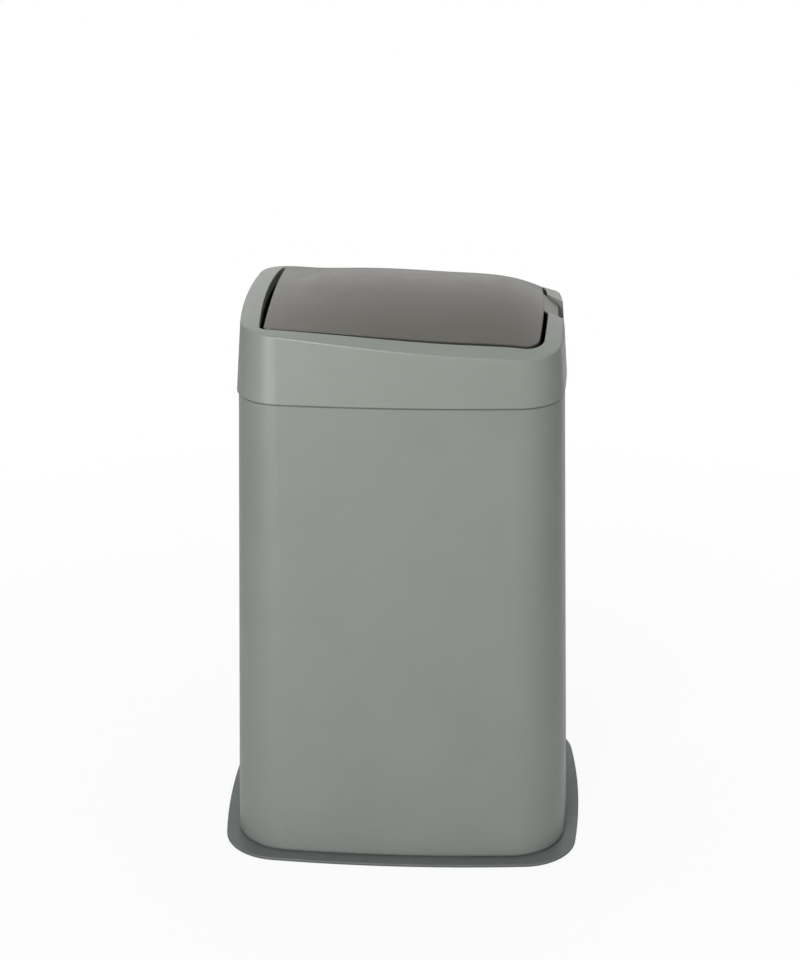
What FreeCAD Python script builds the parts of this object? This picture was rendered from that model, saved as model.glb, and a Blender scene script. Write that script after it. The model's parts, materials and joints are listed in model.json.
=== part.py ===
# Kitchen bin with a lift-off collar and an arched flap that swings on two pins.
# Millimetres. X runs along the long side from the pivot end (-) to the finger tongue (+),
# -Y faces the viewer, Z is up, and the origin lies on the floor under the middle of the bin.
import FreeCAD, Part
import Sketcher
import math
import operator
import os

doc = FreeCAD.newDocument("swing_flap_bin")
sheet = doc.addObject("Spreadsheet::Sheet", "sizes")

DRIVING_SIZES = {
    # Foot and pads
    "foot_length": 400, "foot_depth": 332, "foot_thickness": 3, "foot_ledge": 14, "foot_round": 0.8,
    "pad_diameter": 24, "pad_thickness": 2, "pad_proud": 1, "pad_round": 0.5, "pad_inset": 45,
    # Plan shape that the foot, bucket and collar share
    "corner_radius": 48, "side_radius": 1500, "end_radius": 950,
    # Bucket
    "body_flare": 15, "seam_height": 520, "neck_height": 29, "body_wall": 3, "body_floor": 3.5,
    "body_under_round": 5, "body_inner_round": 6, "neck_wall": 2,
    "kick_inset": 30, "kick_rise": 10, "kick_wall": 3, "locating_rib": 2.4, "locating_rise": 5,
    # Screws under the foot
    "screw_inset_x": 55, "screw_inset_y": 55, "screw_diameter": 4, "screw_length": 10,
    "screw_head_diameter": 8, "screw_head_height": 1.4, "boss_diameter": 10, "screw_blind": 1.5,
    # Collar
    "collar_proud": 1.9, "collar_wall": 2.4, "collar_lean": 4.4, "collar_bevel": 1,
    "deck_thickness": 3, "rest_rib": 2.2, "rest_rib_reach": 12, "rest_rib_pitch": 100, "rest_rib_end": 70,
    # Arched top: a ridge line that falls towards the tongue end, and a crown above it
    "ridge_rise": 58.5, "ridge_fall": 0.088, "crown_rise": 37, "crown_climb": 0.05, "crown_beyond": 9.5,
    "crown_pivot_power": 2.1, "crown_shoulder": 112, "crown_fall": 0.44, "ridge_round": 2.2,
    # Mouth of the collar and the flap in it
    "rim_side": 15.2, "rim_pivot_end": 23.2, "rim_tongue_end": 16.9, "mouth_pivot_radius": 1450,
    "mouth_pivot_corner": 7, "mouth_tongue_corner": 24, "mouth_skirt": 2.2, "mouth_skirt_drop": 11,
    "mouth_round": 1.2, "flap_round": 1.2, "tongue_round": 0.8,
    "flap_side_gap": 2, "flap_pivot_gap": 8.3, "flap_tongue_gap": 4.4, "flap_pivot_corner": 2.5,
    "flap_thickness": 2.4, "flap_skirt": 2.2, "flap_skirt_drop": 8, "flap_rib_spacing": 80,
    "tongue_width": 60, "tongue_gap": 1, "tongue_setback": 6, "tongue_thickness": 3, "tongue_lip": 3,
    "tongue_lip_drop": 6, "tongue_sink": 1.2, "tongue_slope": 0.7, "notch_depth": 20, "notch_wall": 2.2,
    # Pivot
    "pivot_inset": 50, "pivot_drop": 12, "pin_diameter": 5, "pin_head": 8, "pin_head_height": 1.5,
    "pivot_eye": 13, "flap_eye_width": 8, "collar_eye_width": 10,
    "stop_length": 12, "stop_reach": 10, "stop_height": 4, "stop_inset": 22,
    # Clearances
    "skirt_gap": 0.5, "plug_gap": 0.5, "bore_gap": 0.05, "rest_gap": 0.3, "socket_gap": 0.3, "cut_over": 10,
}
for row, (alias, value) in enumerate(DRIVING_SIZES.items(), start=1):
    sheet.set("A%d" % row, alias)
    sheet.set("B%d" % row, str(value))
    sheet.setAlias("B%d" % row, alias)
doc.recompute()

SIGNS = {"+": operator.add, "-": operator.sub, "*": operator.mul, "/": operator.truediv, "^": operator.pow}


class Size:
    """A size that carries its number and the sheet formula that gives it."""

    def __init__(self, number, formula):
        self.number = float(number)
        self.formula = formula

    def combined(self, sign, other):
        other = other if isinstance(other, Size) else Size(other, repr(other))
        number = SIGNS[sign](self.number, other.number)
        return Size(number, "(%s %s %s)" % (self.formula, sign, other.formula))

    def __add__(self, other):
        return self.combined("+", other)

    def __sub__(self, other):
        return self.combined("-", other)

    def __mul__(self, other):
        return self.combined("*", other)

    def __truediv__(self, other):
        return self.combined("/", other)

    def __pow__(self, other):
        return self.combined("^", other)

    def __neg__(self):
        return self.combined("*", -1)


class Sizes:
    """Gives each sheet cell by its alias."""

    def __getattr__(self, alias):
        return Size(sheet.get(alias), "sizes." + alias)


s = Sizes()
ZERO = s.foot_length * 0
ONE = ZERO + 1
LEVEL_TOLERANCE = 1e-4
TOUCH = 0.02
OUTLINE_EDGES = 8
CROWN_ARCS = 13
CROWN_END_SHARE = 0.998
HEADROOM_SHARE = 4
NEAR, FAR = -1, 1
# How a sketch counts its own origin and axes, and the points of a curve
ORIGIN, X_AXIS, Y_AXIS = -1, -1, -2
START, FINISH, CENTRE = 1, 2, 3
UPRIGHT_ALONG_Y = FreeCAD.Rotation(FreeCAD.Vector(1, 0, 0), -90)
SECTION_ALONG_X = FreeCAD.Rotation(FreeCAD.Vector(1, 0, 0), 90)
SECTION_ACROSS_X = FreeCAD.Rotation(FreeCAD.Vector(1, 1, 1), 120)

# Heights and half sizes that several pieces share
foot_under = s.pad_proud
foot_top = foot_under + s.foot_thickness
body_rim = s.seam_height + s.neck_height
ridge_height = s.seam_height + s.ridge_rise
body_low_x = s.foot_length / 2 - s.foot_ledge
body_low_y = s.foot_depth / 2 - s.foot_ledge
body_high_x = body_low_x - s.body_flare
body_high_y = body_low_y - s.body_flare
ridge_x = body_high_x + s.collar_proud - s.collar_lean
ridge_y = body_high_y + s.collar_proud - s.collar_lean
crown_reach = ridge_x + s.crown_beyond
mouth_side = ridge_y - s.rim_side
mouth_pivot_x = ridge_x - s.rim_pivot_end
mouth_tongue_x = ridge_x - s.rim_tongue_end
flap_side = mouth_side - s.flap_side_gap
flap_pivot_x = mouth_pivot_x - s.flap_pivot_gap
flap_tongue_x = mouth_tongue_x - s.flap_tongue_gap
pivot_x = flap_pivot_x - s.pivot_inset
screw_x = body_low_x - s.screw_inset_x
screw_y = body_low_y - s.screw_inset_y
pad_x = s.foot_length / 2 - s.pad_inset
pad_y = s.foot_depth / 2 - s.pad_inset


def bind(item, path, size):
    """Ties one property of an object to the sheet."""
    item.setExpression(path, size.formula)


def crown_at(station):
    """Height of the crown above the ridge line at a place along X: it curves down to the pivot end, and
    climbs to a shoulder before it falls to the tongue end."""
    level = s.crown_rise + s.crown_climb * station
    if station.number < 0:
        return level * (ONE - (-station / crown_reach) ** s.crown_pivot_power)
    past_shoulder = station - s.crown_shoulder
    return level - s.crown_fall * past_shoulder if past_shoulder.number > 0 else level


def quarter(half_x, half_y, corner, side_radius, end_radius):
    """Corner centre and its two tangent points, in the quarter with x and y positive."""
    side = FreeCAD.Vector(0, half_y - side_radius, 0)
    reach_side = side_radius - corner
    if end_radius is None:
        x = half_x - corner
        centre = FreeCAD.Vector(x, side.y + math.sqrt(reach_side ** 2 - x ** 2), 0)
        end_touch = centre + FreeCAD.Vector(corner, 0, 0)
    else:
        end = FreeCAD.Vector(half_x - end_radius, 0, 0)
        reach_end = end_radius - corner
        span = end - side
        along = (reach_side ** 2 - reach_end ** 2 + span.Length ** 2) / (2 * span.Length)
        away = math.sqrt(reach_side ** 2 - along ** 2)
        ahead = span / span.Length
        centre = side + ahead * along + FreeCAD.Vector(ahead.y, -ahead.x, 0) * away
        end_touch = end + (centre - end) * (end_radius / reach_end)
    side_touch = side + (centre - side) * (side_radius / reach_side)
    return centre, side_touch, end_touch


def arc_between(centre, start, finish):
    """Anticlockwise arc from one point to another."""
    circle = Part.Circle(centre, FreeCAD.Vector(0, 0, 1), (start - centre).Length)
    first = math.atan2(start.y - centre.y, start.x - centre.x)
    last = math.atan2(finish.y - centre.y, finish.x - centre.x)
    if last <= first:
        last += 2 * math.pi
    return Part.ArcOfCircle(circle, first, last)


def dimension(sketch, size, *what):
    """Dimension in a sketch, tied to the sheet."""
    index = sketch.addConstraint(Sketcher.Constraint(*what, size.number))
    sketch.setExpression("Constraints[%d]" % index, size.formula)


def place_on(sketch, *what):
    """Holds one point of a sketch on an axis or a curve."""
    sketch.addConstraint(Sketcher.Constraint("PointOnObject", *what))


def draw_outline(sketch, right, left, half_y, right_corner, left_corner, side_radius,
                 right_radius, left_radius):
    """Rounded rectangle with bowed sides, even about X. A left_radius of None is a straight end."""
    flip_x = FreeCAD.Vector(-1, 1, 1)
    flip_y = FreeCAD.Vector(1, -1, 1)

    def mirrored(point, signs):
        return FreeCAD.Vector(point.x * signs.x, point.y * signs.y, 0)

    left_number = None if left_radius is None else left_radius.number
    half, bow = half_y.number, side_radius.number
    rc, rs, re = quarter(right.number, half, right_corner.number, bow, right_radius.number)
    quarter_left = quarter(left.number, half, left_corner.number, bow, left_number)
    lc, ls, le = [mirrored(point, flip_x) for point in quarter_left]
    rc_low, rs_low, re_low = [mirrored(point, flip_y) for point in (rc, rs, re)]
    lc_low, ls_low, le_low = [mirrored(point, flip_y) for point in (lc, ls, le)]
    side_centre = FreeCAD.Vector(0, half - bow, 0)
    right_centre = FreeCAD.Vector(right.number - right_radius.number, 0, 0)
    if left_radius is None:
        left_end = Part.LineSegment(le, le_low)
    else:
        left_end = arc_between(FreeCAD.Vector(left_number - left.number, 0, 0), le, le_low)
    first = sketch.GeometryCount
    loop = list(range(first, first + OUTLINE_EDGES))
    right_end, corner_a, far_side, corner_b, left_edge, corner_c, near_side, corner_d = loop
    sketch.addGeometry([
        arc_between(right_centre, re_low, re),
        arc_between(rc, re, rs),
        arc_between(side_centre, rs, ls),
        arc_between(lc, ls, le),
        left_end,
        arc_between(lc_low, le_low, ls_low),
        arc_between(mirrored(side_centre, flip_y), ls_low, rs_low),
        arc_between(rc_low, rs_low, re_low),
    ], False)
    for this, following in zip(loop, loop[1:] + loop[:1]):
        sketch.addConstraint(Sketcher.Constraint("Tangent", this, FINISH, following, START))
    for side in (far_side, near_side):
        place_on(sketch, side, CENTRE, Y_AXIS)
        dimension(sketch, side_radius, "Radius", side)
    place_on(sketch, right_end, CENTRE, X_AXIS)
    for corner, radius in ((corner_a, right_corner), (corner_d, right_corner),
                           (corner_b, left_corner), (corner_c, left_corner), (right_end, right_radius)):
        dimension(sketch, radius, "Radius", corner)
    dimension(sketch, side_radius - half_y, "DistanceY", far_side, CENTRE, ORIGIN, START)
    dimension(sketch, side_radius - half_y, "DistanceY", ORIGIN, START, near_side, CENTRE)
    dimension(sketch, right_radius - right, "DistanceX", right_end, CENTRE, ORIGIN, START)
    if left_radius is None:
        dimension(sketch, left, "DistanceX", left_edge, START, ORIGIN, START)
    else:
        place_on(sketch, left_edge, CENTRE, X_AXIS)
        dimension(sketch, left_radius, "Radius", left_edge)
        dimension(sketch, left_radius - left, "DistanceX", ORIGIN, START, left_edge, CENTRE)


def draw_plan(sketch, half_x, half_y, grown):
    """The plan shape of the bin, with the shared bow, grown outwards at its corners as its sides are."""
    corner = s.corner_radius + grown
    draw_outline(sketch, half_x, half_x, half_y, corner, corner, s.side_radius + grown,
                 s.end_radius + grown, s.end_radius + grown)


def draw_circles(sketch, places, diameter):
    """Equal circles at four or fewer places."""
    for x, y in places:
        centre = FreeCAD.Vector(x.number, y.number, 0)
        ring = Part.Circle(centre, FreeCAD.Vector(0, 0, 1), diameter.number / 2)
        circle = sketch.addGeometry(ring, False)
        dimension(sketch, x, "DistanceX", ORIGIN, START, circle, CENTRE)
        dimension(sketch, y, "DistanceY", ORIGIN, START, circle, CENTRE)
        dimension(sketch, diameter, "Diameter", circle)


def four_places(x, y):
    """The four places that mirror one another about both axes."""
    return [(x * side, y * end) for side in (1, -1) for end in (1, -1)]


def level_sketch(name, height):
    """A sketch of its own, level, at a height."""
    sketch = doc.addObject("Sketcher::SketchObject", name)
    bind(sketch, "Placement.Base.z", height)
    return sketch


def body_sketch(body, name, height):
    """A level sketch in a body, on its XY plane and raised to a height."""
    sketch = body.newObject("Sketcher::SketchObject", name)
    plane = [feature for feature in body.Origin.OriginFeatures if feature.Role == "XY_Plane"][0]
    sketch.AttachmentSupport = (plane, [""])
    sketch.MapMode = "FlatFace"
    bind(sketch, "AttachmentOffset.Base.z", height)
    return sketch


def new_body(label):
    body = doc.addObject("PartDesign::Body", label)
    body.Label = label
    return body


def raise_pad(body, sketch, height, name):
    """Pads a sketch upwards by a height."""
    pad = body.newObject("PartDesign::Pad", name)
    pad.Profile = sketch
    bind(pad, "Length", height)
    return pad


def sink_pocket(body, sketch, depth, name):
    """Cuts a sketch upwards, from its plane into the solid above it."""
    pocket = body.newObject("PartDesign::Pocket", name)
    pocket.Profile = sketch
    pocket.Reversed = True
    bind(pocket, "Length", depth)
    return pocket


def body_loft(body, kind, levels, name):
    """Adds or cuts a loft through level sketches, from the lowest to the highest."""
    loft = body.newObject("PartDesign::" + kind, name)
    loft.Profile = levels[0]
    loft.Sections = levels[1:]
    loft.Ruled = True
    return loft


def outline_at(shape, height):
    """Names of the edges of the one level outline that a shape has at a height."""
    names = []
    for number, edge in enumerate(shape.Edges, start=1):
        box = edge.BoundBox
        furthest = max(abs(box.ZMin - height.number), abs(box.ZMax - height.number))
        if furthest < LEVEL_TOLERANCE:
            names.append("Edge%d" % number)
    return names


def round_edges(body, base, names, radius, name):
    """Rounds edges of a body's last feature."""
    fillet = body.newObject("PartDesign::Fillet", name)
    fillet.Base = (base, names)
    bind(fillet, "Radius", radius)
    return fillet


def build_foot_base():
    """Flat foot with a rib that locates it under the bucket, holes for screws and seats for pads."""
    body = new_body("foot_base")
    plate = body_sketch(body, "foot_plan", foot_under)
    draw_plan(plate, s.foot_length / 2, s.foot_depth / 2, s.foot_ledge)
    pad = raise_pad(body, plate, s.foot_thickness, "foot_plate")
    doc.recompute()
    round_edges(body, pad, outline_at(pad.Shape, foot_top), s.foot_round, "foot_edge")
    inward = s.kick_inset + s.kick_wall + s.plug_gap
    rib = body_sketch(body, "locating_plan", foot_top)
    for step in (inward, inward + s.locating_rib):
        draw_plan(rib, body_low_x - step, body_low_y - step, -s.kick_inset)
    raise_pad(body, rib, s.locating_rise, "locating_rib")
    holes = body_sketch(body, "screw_hole_plan", foot_under)
    draw_circles(holes, four_places(screw_x, screw_y), s.screw_diameter + s.socket_gap * 2)
    sink_pocket(body, holes, s.foot_thickness, "screw_holes")
    sinks = body_sketch(body, "screw_sink_plan", foot_under)
    draw_circles(sinks, four_places(screw_x, screw_y), s.screw_head_diameter + s.socket_gap * 2)
    sink_pocket(body, sinks, s.screw_head_height, "screw_sinks")
    seats = body_sketch(body, "pad_seat_plan", foot_under)
    draw_circles(seats, four_places(pad_x, pad_y), s.pad_diameter + s.socket_gap * 2)
    sink_pocket(body, seats, s.pad_thickness - s.pad_proud, "pad_seats")
    doc.recompute()
    return body


def build_foot_pads():
    """Four round pads that stand a little below the foot."""
    body = new_body("foot_pads")
    plan = body_sketch(body, "pad_plan", ZERO)
    draw_circles(plan, four_places(pad_x, pad_y), s.pad_diameter)
    pads = raise_pad(body, plan, s.pad_thickness, "pads")
    doc.recompute()
    round_edges(body, pads, outline_at(pads.Shape, ZERO), s.pad_round, "pad_rounds")
    doc.recompute()
    return body


def build_foot_screws():
    """Four pan-head screws, driven up through the foot into the bucket's bosses."""
    body = new_body("foot_screws")
    heads = body_sketch(body, "head_plan", foot_under)
    draw_circles(heads, four_places(screw_x, screw_y), s.screw_head_diameter)
    raise_pad(body, heads, s.screw_head_height, "heads")
    shanks = body_sketch(body, "shank_plan", foot_under + s.screw_head_height)
    draw_circles(shanks, four_places(screw_x, screw_y), s.screw_diameter)
    raise_pad(body, shanks, s.screw_length, "shanks")
    doc.recompute()
    return body


def build_bin_body():
    """Bucket with flared walls, rounded under, a raised floor panel and a neck that the collar sits on."""
    body = new_body("bin_body")
    low = body_sketch(body, "wall_low", foot_top)
    draw_plan(low, body_low_x, body_low_y, s.body_flare)
    seam = body_sketch(body, "wall_seam", s.seam_height)
    draw_plan(seam, body_high_x, body_high_y, ZERO)
    wall = body_loft(body, "AdditiveLoft", [low, seam], "wall")
    doc.recompute()
    round_edges(body, wall, outline_at(wall.Shape, foot_top), s.body_under_round, "under_round")
    neck_inset = s.collar_wall - s.collar_proud + s.skirt_gap
    rim_lean = s.collar_lean * s.neck_height / s.ridge_rise
    floor_top = foot_top + s.body_floor
    floor_lean = s.body_flare * s.body_floor / (s.seam_height - foot_top)

    def wall_level(name, height, inward):
        sketch = body_sketch(body, name, height)
        draw_plan(sketch, body_high_x - inward, body_high_y - inward, -inward)
        return sketch

    neck_levels = [wall_level("neck_low", s.seam_height, neck_inset),
                   wall_level("neck_high", body_rim, neck_inset + rim_lean)]
    body_loft(body, "AdditiveLoft", neck_levels, "neck")
    neck_inside = neck_inset + s.neck_wall
    cavity_levels = [wall_level("cavity_floor", floor_top, s.body_wall + floor_lean - s.body_flare),
                     wall_level("cavity_seam", s.seam_height, neck_inside),
                     wall_level("cavity_rim", body_rim, neck_inside + rim_lean)]
    cavity = body_loft(body, "SubtractiveLoft", cavity_levels, "cavity")
    doc.recompute()
    round_edges(body, cavity, outline_at(cavity.Shape, floor_top), s.body_inner_round, "inner_round")
    kick = body_sketch(body, "kick_plan", foot_top)
    draw_plan(kick, body_low_x - s.kick_inset, body_low_y - s.kick_inset, -s.kick_inset)
    raise_pad(body, kick, s.kick_rise + s.body_floor, "kick_block")
    under = body_sketch(body, "kick_under_plan", foot_top)
    under_step = s.kick_inset + s.kick_wall
    draw_plan(under, body_low_x - under_step, body_low_y - under_step, -s.kick_inset)
    sink_pocket(body, under, s.kick_rise, "kick_under")
    bosses = body_sketch(body, "boss_plan", foot_top)
    draw_circles(bosses, four_places(screw_x, screw_y), s.boss_diameter)
    raise_pad(body, bosses, s.kick_rise + s.body_floor, "bosses")
    holes = body_sketch(body, "boss_hole_plan", foot_top)
    draw_circles(holes, four_places(screw_x, screw_y), s.screw_diameter + s.bore_gap * 2)
    drilled = s.screw_length + s.screw_head_height - s.foot_thickness + s.screw_blind
    sink_pocket(body, holes, drilled, "boss_holes")
    doc.recompute()
    return body


def plan_loft(name, levels):
    """Solid between level plan outlines, each given as its height, half sizes and corner growth."""
    sections = []
    for number, (height, half_x, half_y, grown) in enumerate(levels, start=1):
        sketch = level_sketch("%s_level_%d" % (name, number), height)
        draw_plan(sketch, half_x, half_y, grown)
        sections.append(sketch)
    loft = doc.addObject("Part::Loft", name)
    loft.Sections = sections
    loft.Solid = True
    loft.Ruled = True
    return loft


def upright(name, sketch, height):
    """Solid that stands on a level sketch."""
    prism = doc.addObject("Part::Extrusion", name)
    prism.Base = sketch
    prism.DirMode = "Custom"
    prism.Dir = FreeCAD.Vector(0, 0, 1)
    prism.Solid = True
    bind(prism, "LengthFwd", height)
    return prism


def block(name, low, high):
    """Box from one corner to the opposite one."""
    box = doc.addObject("Part::Box", name)
    for axis, length, start, finish in zip("xyz", ("Length", "Width", "Height"), low, high):
        bind(box, "Placement.Base." + axis, start)
        bind(box, length, finish - start)
    return box


def rod(name, diameter, start, length):
    """Cylinder along +Y from a point."""
    cylinder = doc.addObject("Part::Cylinder", name)
    cylinder.Placement = FreeCAD.Placement(FreeCAD.Vector(0, 0, 0), UPRIGHT_ALONG_Y)
    for axis, size in zip("xyz", start):
        bind(cylinder, "Placement.Base." + axis, size)
    bind(cylinder, "Radius", diameter / 2)
    bind(cylinder, "Height", length)
    return cylinder


def joined(name, pieces):
    fused = doc.addObject("Part::MultiFuse", name)
    fused.Shapes = pieces
    return fused


def shared(name, first, second):
    common = doc.addObject("Part::Common", name)
    common.Base = first
    common.Tool = second
    return common


def less(name, first, second):
    cut = doc.addObject("Part::Cut", name)
    cut.Base = first
    cut.Tool = second
    return cut


def build_crown_surface():
    """Arched skin over the whole bin: arcs across X, lower towards both ends, on the falling ridge line."""
    arcs = []
    half_span = body_high_y + s.collar_proud + s.cut_over
    for number in range(CROWN_ARCS):
        swept = number / (CROWN_ARCS - 1)
        station = crown_reach * (-CROWN_END_SHARE * math.cos(math.pi * swept))
        ridge = ridge_height - s.ridge_fall * station
        apex = ridge + crown_at(station)
        sketch = doc.addObject("Sketcher::SketchObject", "crown_arc_%d" % number)
        sketch.Placement = FreeCAD.Placement(FreeCAD.Vector(0, 0, 0), SECTION_ACROSS_X)
        bind(sketch, "Placement.Base.x", station)
        rise = apex.number - ridge.number
        radius = (ridge_y.number ** 2 + rise ** 2) / (2 * rise)
        centre = FreeCAD.Vector(0, apex.number - radius, 0)
        drop = math.sqrt(radius ** 2 - half_span.number ** 2)
        right = centre + FreeCAD.Vector(half_span.number, drop, 0)
        left = centre + FreeCAD.Vector(-half_span.number, drop, 0)
        arc = sketch.addGeometry(arc_between(centre, right, left), False)
        top = sketch.addGeometry(Part.Point(FreeCAD.Vector(0, apex.number, 0)), True)
        foot = sketch.addGeometry(Part.Point(FreeCAD.Vector(ridge_y.number, ridge.number, 0)), True)
        place_on(sketch, arc, CENTRE, Y_AXIS)
        place_on(sketch, top, START, Y_AXIS)
        place_on(sketch, top, START, arc)
        place_on(sketch, foot, START, arc)
        dimension(sketch, apex, "DistanceY", ORIGIN, START, top, START)
        dimension(sketch, ridge, "DistanceY", ORIGIN, START, foot, START)
        dimension(sketch, ridge_y, "DistanceX", ORIGIN, START, foot, START)
        dimension(sketch, half_span, "DistanceX", ORIGIN, START, arc, START)
        dimension(sketch, half_span, "DistanceX", arc, FINISH, ORIGIN, START)
        arcs.append(sketch)
    surface = doc.addObject("Part::Loft", "crown_surface")
    surface.Sections = arcs
    surface.Solid = False
    surface.Ruled = False
    return surface


def under_crown(name, start, finish):
    """Solid between two depths straight below the crown surface."""
    slab = doc.addObject("Part::Extrusion", name)
    slab.Base = crown
    slab.DirMode = "Custom"
    slab.Dir = FreeCAD.Vector(0, 0, -1)
    slab.Solid = True
    bind(slab, "LengthFwd", finish)
    bind(slab, "LengthRev", -start)
    return slab


def mouth_outline(name, grown):
    """Edge of the collar's mouth, moved outwards by a distance."""
    sketch = level_sketch(name, s.seam_height)
    draw_outline(sketch, mouth_tongue_x + grown, mouth_pivot_x + grown, mouth_side + grown,
                 s.mouth_tongue_corner + grown, s.mouth_pivot_corner + grown,
                 s.side_radius, s.end_radius, s.mouth_pivot_radius)
    return sketch


def flap_outline(name, inward):
    """Edge of the flap, straight at the pivot end, moved inwards by a distance."""
    sketch = level_sketch(name, s.seam_height)
    draw_outline(sketch, flap_tongue_x - inward, flap_pivot_x - inward, flap_side - inward,
                 s.mouth_tongue_corner - s.flap_tongue_gap - inward, s.flap_pivot_corner,
                 s.side_radius, s.end_radius, None)
    return sketch


# Heights that the top's pieces share
block_top = ridge_height + s.crown_rise * HEADROOM_SHARE
top_depth = block_top - s.seam_height
lean_at_top = s.collar_lean * top_depth / s.ridge_rise
side_share = flap_side / ridge_y
pivot_rise = crown_at(-pivot_x) * (ONE - side_share * side_share)
pivot_z = ridge_height + s.ridge_fall * pivot_x + pivot_rise - s.pivot_drop
eye_bow = pivot_x * pivot_x / (s.side_radius * 2)
flap_eye_y = flap_side - eye_bow
collar_eye_y = mouth_side - eye_bow
notch_floor = ridge_height - s.ridge_fall * ridge_x + crown_at(ridge_x) - s.notch_depth
tongue_half = s.tongue_width / 2
notch_half = tongue_half + s.tongue_gap
tongue_end = ridge_x - s.tongue_setback
tongue_arch = ONE - (tongue_half / ridge_y) ** 2
tongue_ridge = ridge_height - s.ridge_fall * flap_tongue_x
tongue_root_z = tongue_ridge + crown_at(flap_tongue_x) * tongue_arch - s.tongue_sink
tongue_end_z = tongue_root_z - s.tongue_slope * (tongue_end - flap_tongue_x)
pin_bore = s.pin_diameter + s.bore_gap * 2


def each_side(maker):
    """Makes the same thing on the near side and on the far side."""
    return [maker(name, sign) for name, sign in (("near", NEAR), ("far", FAR))]


def span_y(sign, inner, outer):
    """A stretch along Y, in rising order, on the side with that sign."""
    return (inner, outer) if sign == FAR else (-outer, -inner)


def soften_top(name, solid, outer_radius, inner_radius):
    """Rounds the edges that lie in the crown surface, those of the mouth by a radius of their own."""
    doc.recompute()
    rounds = []
    for number, edge in enumerate(solid.Shape.Edges, start=1):
        middle = edge.valueAt((edge.FirstParameter + edge.LastParameter) / 2)
        places = (edge.valueAt(edge.FirstParameter), middle, edge.valueAt(edge.LastParameter))
        if max(crown.Shape.distToShape(Part.Vertex(place))[0] for place in places) < TOUCH:
            inner_x = -mouth_pivot_x.number - TOUCH < middle.x < mouth_tongue_x.number + TOUCH
            inner = inner_x and abs(middle.y) < mouth_side.number + TOUCH
            radius = inner_radius.number if inner else outer_radius.number
            rounds.append((number, radius, radius))
    fillet = doc.addObject("Part::Fillet", name)
    fillet.Base = solid
    fillet.Edges = rounds
    return fillet


def build_lid_frame():
    """Collar: a leaning skirt under an arched rim, with a mouth, a notch, pivot eyes and rest ribs."""
    low_x = body_high_x + s.collar_proud
    low_y = body_high_y + s.collar_proud
    edge_grown = s.collar_proud - s.collar_bevel
    outside = plan_loft("collar_outside", [
        (s.seam_height, low_x - s.collar_bevel, low_y - s.collar_bevel, edge_grown),
        (s.seam_height + s.collar_bevel, low_x, low_y, s.collar_proud),
        (block_top, low_x - lean_at_top, low_y - lean_at_top, s.collar_proud - lean_at_top)])
    inner_lean = lean_at_top + s.collar_wall
    inside = plan_loft("collar_inside", [
        (s.seam_height, low_x - s.collar_wall, low_y - s.collar_wall, s.collar_proud - s.collar_wall),
        (block_top, low_x - inner_lean, low_y - inner_lean, s.collar_proud - inner_lean)])
    outer = shared("collar_outer", outside, under_crown("below_crown", ZERO, top_depth))
    mouth = upright("mouth", mouth_outline("mouth_edge", ZERO), top_depth)
    rim = soften_top("collar_rim", less("collar_opened", outer, mouth), s.ridge_round, s.mouth_round)
    core = shared("collar_core", inside, under_crown("below_deck", s.deck_thickness, top_depth))
    skirt_edge = mouth_outline("mouth_skirt_edge", s.mouth_skirt)
    skirt_plug = upright("mouth_skirt_plug", skirt_edge, top_depth)
    skirt_depth = under_crown("mouth_skirt_depth", s.deck_thickness / 2, s.mouth_skirt_drop)
    skirt = shared("mouth_skirt", skirt_plug, skirt_depth)

    def pivot_eye(name, sign):
        start, finish = span_y(sign, collar_eye_y, collar_eye_y + s.collar_eye_width)
        eye = rod("collar_eye_" + name, s.pivot_eye, (-pivot_x, start, pivot_z), s.collar_eye_width)
        web = block("collar_web_" + name, (-pivot_x - s.pivot_eye / 2, start, pivot_z),
                    (-pivot_x + s.pivot_eye / 2, finish, block_top))
        return joined("collar_pivot_" + name, [eye, web])

    def rest_ribs(name, sign):
        ribs = []
        half_rib = s.rest_rib / 2
        start, finish = span_y(sign, low_y - s.rest_rib_reach, low_y)
        for step in (-1, 0, 1):
            middle = s.rest_rib_pitch * step
            ribs.append(block("side_rib_" + name, (middle - half_rib, start, body_rim),
                              (middle + half_rib, finish, block_top)))
        middle = s.rest_rib_end * sign
        for end in (NEAR, FAR):
            low, high = span_y(end, low_x - s.rest_rib_reach, low_x)
            ribs.append(block("end_rib_" + name, (low, middle - half_rib, body_rim),
                              (high, middle + half_rib, block_top)))
        return joined("rest_ribs_" + name, ribs)

    cheek = notch_half + s.notch_wall
    surround = block("notch_surround", (mouth_tongue_x, -cheek, notch_floor - s.notch_wall),
                     (low_x, cheek, block_top))
    inner_parts = joined("collar_inner_parts",
                         [skirt, surround] + each_side(pivot_eye) + each_side(rest_ribs))
    opened = less("collar_hollowed", rim, less("collar_hollow", core, inner_parts))
    stop_x = flap_tongue_x - s.stop_inset

    def stop(name, sign):
        start, finish = span_y(sign, mouth_side - s.stop_reach - s.stop_length, mouth_side)
        bar = block("stop_bar_" + name, (stop_x - s.stop_length, start, s.seam_height),
                    (stop_x, finish, block_top))
        top = s.flap_skirt_drop + s.rest_gap
        return shared("stop_" + name, bar, under_crown("stop_depth_" + name, top, top + s.stop_height))

    stopped = joined("collar_stopped", [opened] + each_side(stop))
    notch = block("notch", (flap_tongue_x, -notch_half, notch_floor),
                  (low_x + s.cut_over, notch_half, block_top))
    notched = less("collar_notched", stopped, notch)
    bore_end = collar_eye_y + s.collar_eye_width
    bore = rod("collar_bore", pin_bore, (-pivot_x, -bore_end, pivot_z), bore_end * 2)
    return less("lid_frame", notched, bore)


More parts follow.
